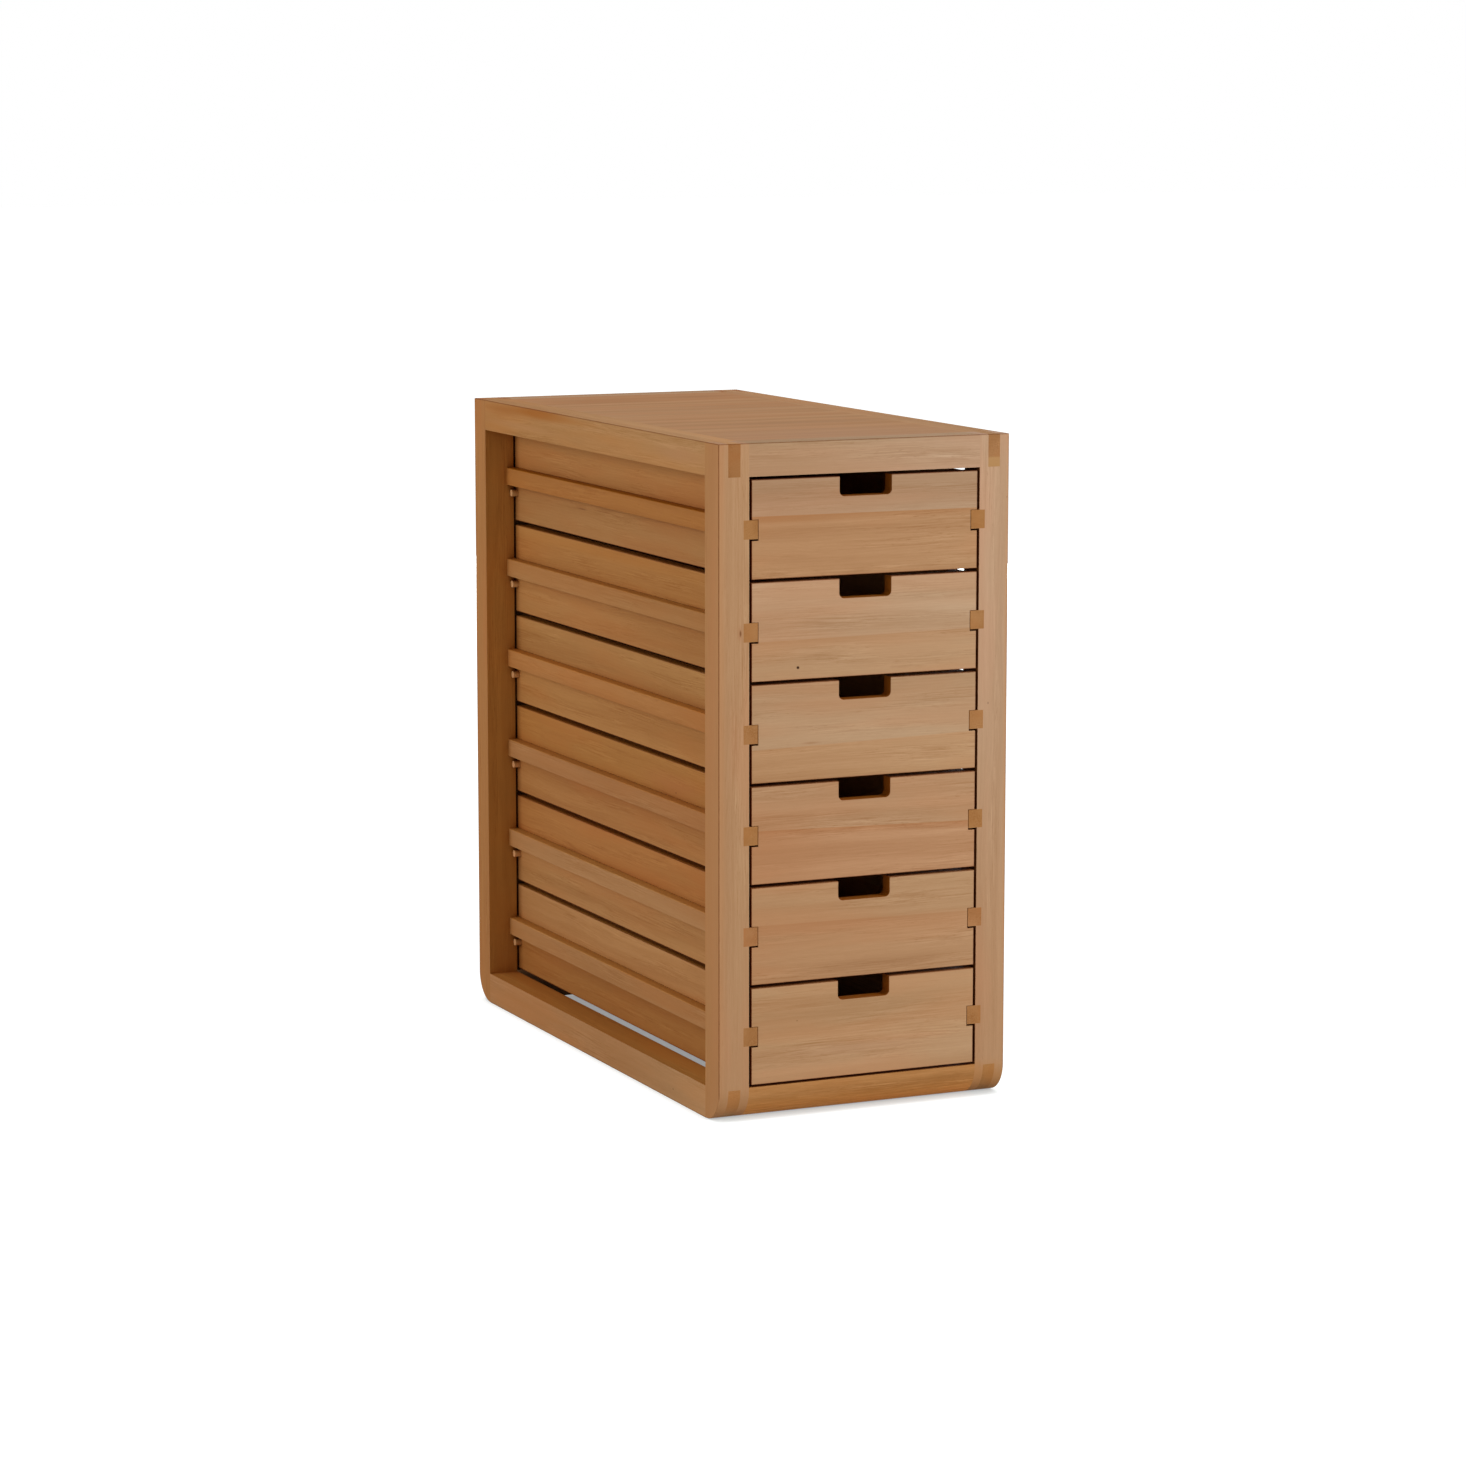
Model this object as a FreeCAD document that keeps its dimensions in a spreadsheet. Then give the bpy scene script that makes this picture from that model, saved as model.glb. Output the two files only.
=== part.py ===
import FreeCAD, Part
import os
import types

import Sketcher
from FreeCAD import Placement, Rotation, Vector

# Six-drawer cabinet in solid wood, open at both sides.
#
# Four square posts and eight rails make a box frame. The side rails run through the posts as
# bridle tenons whose ends show in the front and rear faces. The front and rear rails sit between
# the posts on stub tenons. A solid top lies flush in the top rails on a tongue, and a back panel
# stands in grooves of the rear posts and rails. The frame is open below and at its sides.
#
# Each drawer hangs on two wooden runners. They are housed in the posts, run out through the front
# posts and lie in grooves of the drawer's sides. A peg in each side stops the drawer at both ends
# of its travel, against the rear post when shut and against the front post when pulled out.
#
# Axes: +X to the right, +Y to the back, +Z up. The origin is under the middle of the cabinet, on
# the floor. Millimetres.

DRAWER_COUNT = 6

TOUCH = 0.001  # mm, points nearer than this are in one place
LEAST_CUT = 1  # mm3, a cut takes out more than this

SIZES = (
    ("cabinet_width", 340.0, "outside, left to right"),
    ("cabinet_depth", 704.0, "outside, front to back"),
    ("cabinet_height", 722.0, "outside, floor to top"),
    ("post_side", 35.0, "square section of a corner post, and thickness of every rail"),
    ("rail_height", 35.0, "height of the top rails and of the side rails at the floor"),
    ("base_rail_height", 36.5, "height of the front and rear rails at the floor"),
    ("foot_radius", 34.0, "rounding along the front and rear edges at the floor"),
    ("edge_ease", 0.6, "small chamfer on the outer edges of the frame"),
    ("front_ease", 0.3, "still smaller chamfer on the edges of the drawer fronts"),
    ("tenon_offset", 11.0, "outer face of a side rail to its through tenon"),
    ("tenon_shoulder", 10.0, "inner face of a side rail to that tenon, which a stub tenon just reaches"),
    ("stub_thickness", 14.0, "thickness of a stub tenon"),
    ("stub_below_edge", 9.0, "upper edge of a rail down to its stub tenon"),
    ("stub_above_edge", 11.5, "lower edge of a rail up to its stub tenon"),
    ("top_thickness", 18.0, "solid top"),
    ("tongue_length", 8.0, "tongue round the top, let into the rails"),
    ("tongue_thickness", 6.0, "thickness of that tongue"),
    ("back_thickness", 8.0, "back panel"),
    ("back_inset", 12.0, "rear face of the cabinet to the back panel"),
    ("back_groove_depth", 6.0, "depth of the grooves that hold the back panel"),
    ("bay_top_gap", 3.5, "top drawer to the top rail"),
    ("bay_floor_gap", 2.7, "lowest drawer to the rail below it"),
    ("bay_side_gap", 2.8, "drawer to post, each side"),
    ("drawer_gap", 3.7, "one drawer to the next"),
    ("drawer_rear_gap", 12.0, "shut drawer to the back panel"),
    ("front_thickness", 16.0, "drawer front"),
    ("side_thickness", 15.0, "drawer side"),
    ("drawer_back_thickness", 12.0, "drawer back"),
    ("front_lap", 9.0, "how far the sides run into the drawer front"),
    ("back_lap", 5.0, "how far the drawer back is let into the sides"),
    ("side_drop", 2.2, "top edge of the drawer front down to that of the sides"),
    ("floor_thickness", 5.0, "drawer bottom"),
    ("floor_rise", 8.0, "lower edge of the drawer up to its bottom"),
    ("floor_groove_depth", 6.0, "depth of the grooves that hold the drawer bottom"),
    ("notch_width", 61.0, "finger notch in the upper edge of the drawer front"),
    ("notch_depth", 21.0, "depth of the finger notch"),
    ("notch_radius", 5.6, "lower corners of the finger notch"),
    ("runner_height", 20.0, "runner"),
    ("runner_rise", 42.4, "lower edge of a drawer up to its runner"),
    ("runner_reach", 7.2, "how far a runner reaches into the drawer's side"),
    ("runner_housing", 6.4, "how deep a runner is let into the posts"),
    ("runner_shoulder", 2.6, "step at each end of a runner that covers its housing"),
    ("runner_ease", 1.3, "rounding on the outer upper edge of a runner"),
    ("runner_to_panel", 4.0, "rear end of a runner to the back panel"),
    ("groove_lift", 0.3, "runner to the roof of the drawer's groove"),
    ("groove_drop", 1.9, "runner down to the floor of the drawer's groove"),
    ("groove_play", 0.5, "runner to the bottom of the drawer's groove"),
    ("peg_diameter", 8.0, "stop peg"),
    ("peg_projection", 7.6, "how far a peg stands out of the drawer's side"),
    ("peg_to_back", 1.0, "inner end of a peg to the drawer back"),
    ("peg_drop", 8.0, "lower edge of the drawer's groove down to the middle of the peg"),
    ("stop_gap", 0.5, "peg to the rear post when the drawer is shut"),
)


class Size:
    """A length that knows its number and the formula on the spreadsheet that gives it."""

    def __init__(self, number, formula):
        self.number = number
        self.formula = formula

    def __add__(self, other):
        other = as_size(other)
        return Size(self.number + other.number, f"({self.formula} + {other.formula})")

    def __sub__(self, other):
        other = as_size(other)
        return Size(self.number - other.number, f"({self.formula} - {other.formula})")

    def __mul__(self, other):
        other = as_size(other)
        return Size(self.number * other.number, f"({self.formula} * {other.formula})")

    def __truediv__(self, other):
        other = as_size(other)
        return Size(self.number / other.number, f"({self.formula} / {other.formula})")

    def __radd__(self, other):
        return as_size(other) + self

    def __rsub__(self, other):
        return as_size(other) - self

    def __rmul__(self, other):
        return as_size(other) * self

    def __neg__(self):
        return as_size(0) - self


def as_size(value):
    return value if isinstance(value, Size) else Size(float(value), f"{value}")


def least(*sizes):
    numbers = [size.number for size in sizes]
    formulas = "; ".join(size.formula for size in sizes)
    return Size(min(numbers), f"min({formulas})")


# Document and spreadsheet

doc = FreeCAD.newDocument("drawer_cabinet")
sheet = doc.addObject("Spreadsheet::Sheet", "sizes")
for row, (name, number, meaning) in enumerate(SIZES, start=1):
    sheet.set(f"A{row}", name)
    sheet.set(f"B{row}", f"{number}")
    sheet.set(f"C{row}", meaning)
    sheet.setAlias(f"B{row}", name)
doc.recompute()
s = types.SimpleNamespace(**{name: Size(number, f"sizes.{name}") for name, number, _ in SIZES})

# Lengths and places worked out from the sizes

left_face = -s.cabinet_width / 2
front_face = -s.cabinet_depth / 2
opening_width = s.cabinet_width - 2 * s.post_side
opening_height = s.cabinet_height - s.rail_height - s.base_rail_height
shoulder_length = s.cabinet_depth - 2 * s.post_side
top_rail_floor = s.cabinet_height - s.rail_height
foot_room = least(s.post_side, s.rail_height, s.base_rail_height) - s.edge_ease
foot_round = least(s.foot_radius, foot_room)
tenon_thickness = s.post_side - s.tenon_offset - s.tenon_shoulder

tongue_rise = s.rail_height - (s.top_thickness + s.tongue_thickness) / 2
back_panel_rise = s.base_rail_height - s.back_groove_depth
back_panel_height = opening_height + 2 * s.back_groove_depth
back_panel_front = s.cabinet_depth - s.back_inset - s.back_thickness
back_in_post = s.post_side - s.back_inset - s.back_thickness

total_gap = s.bay_top_gap + s.bay_floor_gap + (DRAWER_COUNT - 1) * s.drawer_gap
drawer_height = (opening_height - total_gap) / DRAWER_COUNT
drawer_pitch = drawer_height + s.drawer_gap
drawer_width = opening_width - 2 * s.bay_side_gap
drawer_length = back_panel_front - s.drawer_rear_gap
drawer_left = left_face + s.post_side + s.bay_side_gap
lowest_drawer = s.base_rail_height + s.bay_floor_gap

groove_floor = s.runner_rise - s.groove_drop
groove_roof = s.runner_rise + s.runner_height + s.groove_lift
groove_depth = s.runner_reach + s.groove_play
side_height = drawer_height - s.side_drop
floor_top = s.floor_rise + s.floor_thickness

runner_left = left_face + s.post_side - s.runner_housing - s.runner_shoulder
runner_width = s.runner_shoulder + s.runner_housing + s.bay_side_gap + s.runner_reach
rear_housing_length = back_in_post - s.runner_to_panel
runner_length = s.cabinet_depth - s.post_side + rear_housing_length

peg_radius = s.peg_diameter / 2
peg_hole_depth = s.side_thickness - s.back_lap - s.peg_to_back
peg_setback = s.cabinet_depth - s.post_side - s.stop_gap - peg_radius
peg_rise = groove_floor - s.peg_drop
travel = peg_setback - peg_radius - s.stop_gap - s.post_side

pieces = {}


def bind(thing, **sizes):
    for name, size in sizes.items():
        thing.setExpression(name, as_size(size).formula)


def place(thing, x, y, z):
    """Move a piece to its place, and tie that place to the spreadsheet."""
    corner = [as_size(value) for value in (x, y, z)]
    thing.Placement = Placement(Vector(*[size.number for size in corner]), thing.Placement.Rotation)
    for axis, size in zip("xyz", corner):
        thing.setExpression(f"Placement.Base.{axis}", size.formula)


def keep(thing, label):
    thing.Label = label
    pieces[label] = thing
    return thing


# Sketches

def origin_feature(body, role):
    return next(feature for feature in body.Origin.OriginFeatures if feature.Role == role)


def new_sketch(body, name, plane, offset):
    sketch = body.newObject("Sketcher::SketchObject", name)
    sketch.AttachmentSupport = [(origin_feature(body, plane), "")]
    sketch.MapMode = "FlatFace"
    offset = as_size(offset)
    sketch.AttachmentOffset = Placement(Vector(0, 0, offset.number), Rotation())
    sketch.setExpression("AttachmentOffset.Base.z", offset.formula)
    return sketch


def constrain(sketch, size, *constraint):
    index = sketch.addConstraint(Sketcher.Constraint(*constraint, size.number))
    sketch.setExpression(f"Constraints[{index}]", size.formula)


def outline(body, name, plane, corners, offset=0):
    """Sketch a closed outline of level and upright lines.

    A corner is (across, up), or (across, up, radius) where it is rounded.
    """
    sketch = new_sketch(body, name, plane, offset)
    across = [as_size(corner[0]) for corner in corners]
    up = [as_size(corner[1]) for corner in corners]
    radius = [as_size(corner[2]) if len(corner) > 2 else None for corner in corners]
    points = [Vector(a.number, u.number, 0) for a, u in zip(across, up)]
    count = len(corners)
    heading = [(points[(i + 1) % count] - points[i]).normalize() for i in range(count)]

    for i in range(count):
        after = (i + 1) % count
        start = points[i] + heading[i] * (radius[i].number if radius[i] else 0)
        end = points[after] - heading[i] * (radius[after].number if radius[after] else 0)
        sketch.addGeometry(Part.LineSegment(start, end), False)
        if abs(heading[i].x) > abs(heading[i].y):
            sketch.addConstraint(Sketcher.Constraint("Horizontal", i))
            constrain(sketch, up[i], "DistanceY", -1, 1, i, 1)
        else:
            sketch.addConstraint(Sketcher.Constraint("Vertical", i))
            constrain(sketch, across[i], "DistanceX", -1, 1, i, 1)

    for i in range(count):
        before = (i - 1) % count
        if radius[i] is None:
            sketch.addConstraint(Sketcher.Constraint("Coincident", before, 2, i, 1))
            continue
        size = radius[i].number
        centre = points[i] - heading[before] * size + heading[i] * size
        middle = centre + (points[i] - centre).normalize() * size
        first = points[i] - heading[before] * size
        last = points[i] + heading[i] * size
        arc = sketch.addGeometry(Part.Arc(first, middle, last), False)
        begins_first = sketch.getPoint(arc, 1).distanceToPoint(first) < size / 2
        enter, leave = (1, 2) if begins_first else (2, 1)
        sketch.addConstraint(Sketcher.Constraint("Tangent", before, 2, arc, enter))
        sketch.addConstraint(Sketcher.Constraint("Tangent", arc, leave, i, 1))
        constrain(sketch, radius[i], "Radius", arc)
    return sketch


def rectangle(body, name, plane, across, up, width, height, offset=0):
    right, top = across + width, up + height
    corners = ((across, up), (right, up), (right, top), (across, top))
    return outline(body, name, plane, corners, offset)


def circle(body, name, plane, across, up, radius):
    sketch = new_sketch(body, name, plane, 0)
    centre = Vector(across.number, up.number, 0)
    ring = sketch.addGeometry(Part.Circle(centre, Vector(0, 0, 1), radius.number), False)
    constrain(sketch, across, "DistanceX", -1, 1, ring, 3)
    constrain(sketch, up, "DistanceY", -1, 1, ring, 3)
    constrain(sketch, radius, "Radius", ring)
    return sketch


# Features

def new_body(name):
    return doc.addObject("PartDesign::Body", name)


def pad(body, sketch, length, reverse=False):
    feature = body.newObject("PartDesign::Pad", f"{sketch.Name}_pad")
    feature.Profile = sketch
    feature.Reversed = reverse
    bind(feature, Length=length)
    return feature


def pocket(body, sketch, depth=None, reverse=False):
    """Cut a sketch out of its body: to a depth, or through all of it on both sides."""
    feature = body.newObject("PartDesign::Pocket", f"{sketch.Name}_cut")
    feature.Profile = sketch
    feature.Reversed = reverse
    if depth is None:
        feature.Type = "ThroughAll"
        feature.Midplane = True
    else:
        bind(feature, Length=depth)
    return feature


def repeat_upwards(body, feature):
    """Repeat a cut once for each drawer, from the lowest one up."""
    pattern = body.newObject("PartDesign::LinearPattern", f"{feature.Name}_row")
    pattern.Originals = [feature]
    pattern.Direction = (origin_feature(body, "Z_Axis"), [""])
    pattern.Occurrences = DRAWER_COUNT
    bind(pattern, Length=drawer_pitch * (DRAWER_COUNT - 1))
    body.Tip = pattern
    return pattern


def ease_edges(body, *faces, size=s.edge_ease):
    """Chamfer the edges that lie on two or more of the given faces, such as ("z", height)."""
    doc.recompute()
    base = body.Tip
    chosen = []
    for index, edge in enumerate(base.Shape.Edges, start=1):
        box = edge.BoundBox
        low = {"x": box.XMin, "y": box.YMin, "z": box.ZMin}
        high = {"x": box.XMax, "y": box.YMax, "z": box.ZMax}
        levels = [(axis, as_size(at).number) for axis, at in faces]
        on_faces = [
            axis for axis, at in levels if abs(low[axis] - at) < TOUCH and abs(high[axis] - at) < TOUCH
        ]
        if len(on_faces) >= 2:
            chosen.append(f"Edge{index}")
    chamfer = body.newObject("PartDesign::Chamfer", f"{body.Name}_eased")
    chamfer.Base = (base, chosen)
    bind(chamfer, Size=size)
    body.Tip = chamfer


def ease_face(body, axis, at, size):
    """Chamfer every edge that lies in one face."""
    ease_edges(body, (axis, at), (axis, at), size=size)


def box(name, corner, size):
    block = doc.addObject("Part::Box", name)
    bind(block, Length=size[0], Width=size[1], Height=size[2])
    place(block, *corner)
    return block


def mirrored(source, label):
    """The right-hand copy of a left-hand piece."""
    copy = doc.addObject("Part::Mirroring", label)
    copy.Source = source
    copy.Base = Vector(0, 0, 0)
    copy.Normal = Vector(1, 0, 0)
    return copy


def pair(source, label):
    """A left-hand piece and its mirror image as one group."""
    group = doc.addObject("Part::Compound", label)
    group.Links = [source, mirrored(source, f"{label}_right")]
    return keep(group, label)


# Frame

def stub_outline(body, name, rise, rail_height, offset):
    """The section of the stub tenon on a front or rear rail whose lower edge is at the given rise."""
    inset = (s.post_side - s.stub_thickness) / 2
    height = rail_height - s.stub_above_edge - s.stub_below_edge
    across = s.stub_thickness
    return rectangle(body, name, "YZ_Plane", inset, rise + s.stub_above_edge, across, height, offset)


def post(label, rear):
    """A left-hand post: foot rounding, slots and mortises for the rails, runner housings."""
    body = new_body(label)
    front_foot = (0, 0) if rear else (0, 0, foot_round)
    rear_foot = (s.post_side, 0, foot_round) if rear else (s.post_side, 0)
    corners = front_foot, rear_foot, (s.post_side, s.cabinet_height), (0, s.cabinet_height)
    pad(body, outline(body, f"{label}_side", "YZ_Plane", corners), s.post_side)

    for end, rise in (("top", top_rail_floor), ("base", as_size(0))):
        name = f"{label}_{end}_slot"
        slot = rectangle(body, name, "XZ_Plane", s.tenon_offset, rise, tenon_thickness, s.rail_height)
        pocket(body, slot)

    rails = ("top", top_rail_floor, s.rail_height), ("base", as_size(0), s.base_rail_height)
    for end, rise, height in rails:
        name = f"{label}_{end}_mortise"
        pocket(body, stub_outline(body, name, rise, height, s.post_side), s.tenon_shoulder)

    if rear:
        name = f"{label}_panel_groove"
        size = s.back_thickness, back_panel_height
        groove = rectangle(body, name, "YZ_Plane", back_in_post, back_panel_rise, *size, s.post_side)
        pocket(body, groove, s.back_groove_depth)

    reach = rear_housing_length if rear else s.post_side
    name = f"{label}_housing"
    rise = lowest_drawer + s.runner_rise
    start = as_size(0)
    housing = rectangle(body, name, "YZ_Plane", start, rise, reach, s.runner_height, s.post_side)
    repeat_upwards(body, pocket(body, housing, s.runner_housing))

    ease_edges(body, ("x", 0), ("y", s.post_side if rear else 0), ("z", s.cabinet_height))
    place(body, left_face, s.cabinet_depth / 2 - s.post_side if rear else front_face, 0)
    keep(body, label)
    keep(mirrored(body, label.replace("left", "right")), label.replace("left", "right"))


def side_rail(label, top):
    """A left-hand side rail with a through tenon at each end."""
    body = new_body(label)
    start = (0, 0) if top else (0, 0, foot_round)
    end = (s.cabinet_depth, 0) if top else (s.cabinet_depth, 0, foot_round)
    corners = start, end, (s.cabinet_depth, s.rail_height), (0, s.rail_height)
    core = outline(body, f"{label}_tenons", "YZ_Plane", corners, s.tenon_offset)
    pad(body, core, tenon_thickness)
    size = shoulder_length, s.rail_height
    bar = rectangle(body, f"{label}_bar", "YZ_Plane", s.post_side, as_size(0), *size)
    pad(body, bar, s.post_side)
    if top:
        at = s.post_side, tongue_rise
        size = shoulder_length, s.tongue_thickness
        groove = rectangle(body, f"{label}_groove", "YZ_Plane", *at, *size, offset=s.post_side)
        pocket(body, groove, s.tongue_length)
        ease_edges(body, ("x", 0), ("y", 0), ("y", s.cabinet_depth), ("z", s.rail_height))
    place(body, left_face, front_face, top_rail_floor if top else 0)
    keep(body, label)
    keep(mirrored(body, label.replace("left", "right")), label.replace("left", "right"))


def cross_rail(label, top, rear):
    """A rail between two posts, on stub tenons."""
    body = new_body(label)
    height = s.rail_height if top else s.base_rail_height
    front_foot = (0, 0) if top or rear else (0, 0, foot_round)
    rear_foot = (s.post_side, 0, foot_round) if rear and not top else (s.post_side, 0)
    corners = front_foot, rear_foot, (s.post_side, height), (0, height)
    pad(body, outline(body, f"{label}_section", "YZ_Plane", corners), opening_width)
    stub = stub_outline(body, f"{label}_stubs", as_size(0), height, -s.tenon_shoulder)
    pad(body, stub, opening_width + 2 * s.tenon_shoulder)

    if top:
        across = as_size(0) if rear else s.post_side - s.tongue_length
        size = s.tongue_length, s.tongue_thickness
        pocket(body, rectangle(body, f"{label}_tongue_groove", "YZ_Plane", across, tongue_rise, *size))
    if rear:
        rise = as_size(0) if top else height - s.back_groove_depth
        size = s.back_thickness, s.back_groove_depth
        pocket(body, rectangle(body, f"{label}_panel_groove", "YZ_Plane", back_in_post, rise, *size))
    if top:
        ease_edges(body, ("y", s.post_side if rear else 0), ("z", height))
    depth = s.cabinet_depth / 2 - s.post_side if rear else front_face
    place(body, left_face + s.post_side, depth, top_rail_floor if top else 0)
    keep(body, label)


def top_panel():
    """The solid top, flush with the rails, with a tongue all round."""
    left, front = left_face + s.post_side, front_face + s.post_side
    plate_floor = s.cabinet_height - s.top_thickness
    tongue_floor = top_rail_floor + tongue_rise
    reach = s.tongue_length
    plate = box("top_plate", (left, front, plate_floor), (opening_width, shoulder_length, s.top_thickness))
    size = opening_width + 2 * reach, shoulder_length, s.tongue_thickness
    side_tongues = box("top_side_tongues", (left - reach, front, tongue_floor), size)
    size = opening_width, shoulder_length + 2 * reach, s.tongue_thickness
    end_tongues = box("top_end_tongues", (left, front - reach, tongue_floor), size)
    panel = doc.addObject("Part::MultiFuse", "top_panel")
    panel.Shapes = [plate, side_tongues, end_tongues]
    panel.Refine = True
    keep(panel, "top_panel")


def back_panel():
    left = left_face + s.post_side - s.back_groove_depth
    size = opening_width + 2 * s.back_groove_depth, s.back_thickness, back_panel_height
    keep(box("back_panel", (left, front_face + back_panel_front, back_panel_rise), size), "back_panel")


def runners(number, rise):
    """The two runners of one drawer, stepped where they enter the posts."""
    label = f"runners_{number}"
    body = new_body(f"{label}_left")
    eased = 0, s.runner_height, s.runner_ease
    corners = (0, 0), (runner_width, 0), (runner_width, s.runner_height), eased
    pad(body, outline(body, f"{label}_section", "XZ_Plane", corners), runner_length, reverse=True)
    zero = as_size(0)
    rear_post = s.cabinet_depth - s.post_side
    ends = ("front", zero, s.post_side), ("rear", rear_post, rear_housing_length)
    for end, start, length in ends:
        step = rectangle(body, f"{label}_{end}_step", "XY_Plane", zero, start, s.runner_shoulder, length)
        pocket(body, step)
    place(body, runner_left, front_face, rise + s.runner_rise)
    pair(body, label)


# Drawers

def drawer_front(label, rise):
    """The front board: finger notch, runner notches, laps for the sides, groove for the bottom."""
    body = new_body(label)
    notch_left = (drawer_width - s.notch_width) / 2
    notch_right = notch_left + s.notch_width
    notch_floor = drawer_height - s.notch_depth
    inner = drawer_width - groove_depth
    corners = (
        (0, 0), (drawer_width, 0),
        (drawer_width, groove_floor), (inner, groove_floor),
        (inner, groove_roof), (drawer_width, groove_roof),
        (drawer_width, drawer_height),
        (notch_right, drawer_height), (notch_right, notch_floor, s.notch_radius),
        (notch_left, notch_floor, s.notch_radius), (notch_left, drawer_height),
        (0, drawer_height),
        (0, groove_roof), (groove_depth, groove_roof), (groove_depth, groove_floor), (0, groove_floor),
    )
    board = outline(body, f"{label}_face", "XZ_Plane", corners)
    pad(body, board, s.front_thickness, reverse=True)

    lap_start = s.front_thickness - s.front_lap
    for side, across in (("left", as_size(0)), ("right", drawer_width - s.side_thickness)):
        name = f"{label}_{side}_lap"
        lap = rectangle(body, name, "XY_Plane", across, lap_start, s.side_thickness, s.front_lap)
        pocket(body, lap, side_height, reverse=True)

    at = s.side_thickness, s.floor_rise
    size = drawer_width - 2 * s.side_thickness, s.floor_thickness
    groove = rectangle(body, f"{label}_groove", "XZ_Plane", *at, *size, offset=-s.front_thickness)
    pocket(body, groove, s.floor_groove_depth, reverse=True)

    ease_face(body, "y", 0, s.front_ease)
    place(body, drawer_left, front_face, rise)
    keep(body, label)


def drawer_sides(label, rise):
    """Both sides: runner groove outside, bottom groove inside, lap for the back, peg hole."""
    left, right = f"{label}_left_side", f"{label}_right_side"
    body = new_body(left)
    thickness = s.side_thickness
    inner = thickness - s.floor_groove_depth
    corners = (
        (0, 0), (thickness, 0),
        (thickness, s.floor_rise), (inner, s.floor_rise), (inner, floor_top), (thickness, floor_top),
        (thickness, side_height), (0, side_height),
        (0, groove_roof), (groove_depth, groove_roof), (groove_depth, groove_floor), (0, groove_floor),
    )
    start = s.front_thickness - s.front_lap
    section = outline(body, f"{left}_section", "XZ_Plane", corners, offset=-start)
    pad(body, section, drawer_length - start, reverse=True)

    at = thickness - s.back_lap, drawer_length - s.drawer_back_thickness
    size = s.back_lap, s.drawer_back_thickness
    lap = rectangle(body, f"{left}_back_lap", "XY_Plane", *at, *size, offset=floor_top)
    pocket(body, lap, side_height - floor_top, reverse=True)
    hole = circle(body, f"{left}_peg_hole", "YZ_Plane", peg_setback, peg_rise, peg_radius)
    pocket(body, hole, peg_hole_depth, reverse=True)

    place(body, drawer_left, front_face, rise)
    keep(body, left)
    keep(mirrored(body, right), right)


def drawer_back(label, rise):
    left = drawer_left + s.side_thickness - s.back_lap
    depth = front_face + drawer_length - s.drawer_back_thickness
    width = drawer_width - 2 * (s.side_thickness - s.back_lap)
    size = width, s.drawer_back_thickness, side_height - floor_top
    keep(box(label, (left, depth, rise + floor_top), size), label)


def drawer_bottom(label, rise):
    left = drawer_left + s.side_thickness - s.floor_groove_depth
    start = s.front_thickness - s.floor_groove_depth
    width = drawer_width - 2 * (s.side_thickness - s.floor_groove_depth)
    size = width, drawer_length - start, s.floor_thickness
    keep(box(label, (left, front_face + start, rise + s.floor_rise), size), label)


def drawer_pegs(label, rise):
    peg = doc.addObject("Part::Cylinder", f"{label}_left")
    bind(peg, Radius=peg_radius, Height=s.peg_projection + peg_hole_depth)
    peg.Placement = Placement(Vector(), Rotation(Vector(0, 1, 0), 90))
    place(peg, drawer_left - s.peg_projection, front_face + peg_setback, rise + peg_rise)
    pair(peg, label)


def drawer(number):
    """One drawer and its runners. Number 1 is the top drawer."""
    rise = lowest_drawer + (DRAWER_COUNT - number) * drawer_pitch
    label = f"drawer_{number}"
    runners(number, rise)
    drawer_front(f"{label}_front", rise)
    drawer_sides(label, rise)
    drawer_back(f"{label}_back", rise)
    drawer_bottom(f"{label}_bottom", rise)
    drawer_pegs(f"{label}_pegs", rise)


post("front_left_post", rear=False)
post("rear_left_post", rear=True)
side_rail("left_top_rail", top=True)
side_rail("left_base_rail", top=False)
cross_rail("front_top_rail", top=True, rear=False)
cross_rail("front_base_rail", top=False, rear=False)
cross_rail("rear_top_rail", top=True, rear=True)
cross_rail("rear_base_rail", top=False, rear=True)
top_panel()
back_panel()
for number in range(1, DRAWER_COUNT + 1):
    drawer(number)
doc.recompute()


# Checks before anything is written

def check_document():
    for thing in doc.Objects:
        if "Invalid" in thing.State or "Error" in thing.State:
            raise RuntimeError(f"{thing.Label} failed: {thing.State}")
        if thing.isDerivedFrom("PartDesign::Pocket") and thing.BaseFeature:
            if thing.Shape.Volume > thing.BaseFeature.Shape.Volume - LEAST_CUT:
                raise RuntimeError(f"{thing.Label} cuts nothing")
        if thing.isDerivedFrom("Sketcher::SketchObject") and not thing.FullyConstrained:
            raise RuntimeError(f"{thing.Label} isn't fully constrained")


def check_pieces():
    for label, piece in pieces.items():
        shape = piece.Shape
        if shape.isNull() or not shape.isValid() or not shape.Solids:
            raise RuntimeError(f"{label} has no valid solid")


check_document()
check_pieces()
os.makedirs("parts", exist_ok=True)
for label, piece in pieces.items():
    piece.Shape.exportStep(f"parts/{label}.step")
print(f"{len(pieces)} pieces")
print(f"drawer travel {travel.number:.1f} mm, drawer pitch {drawer_pitch.number:.2f} mm")
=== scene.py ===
import math

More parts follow.
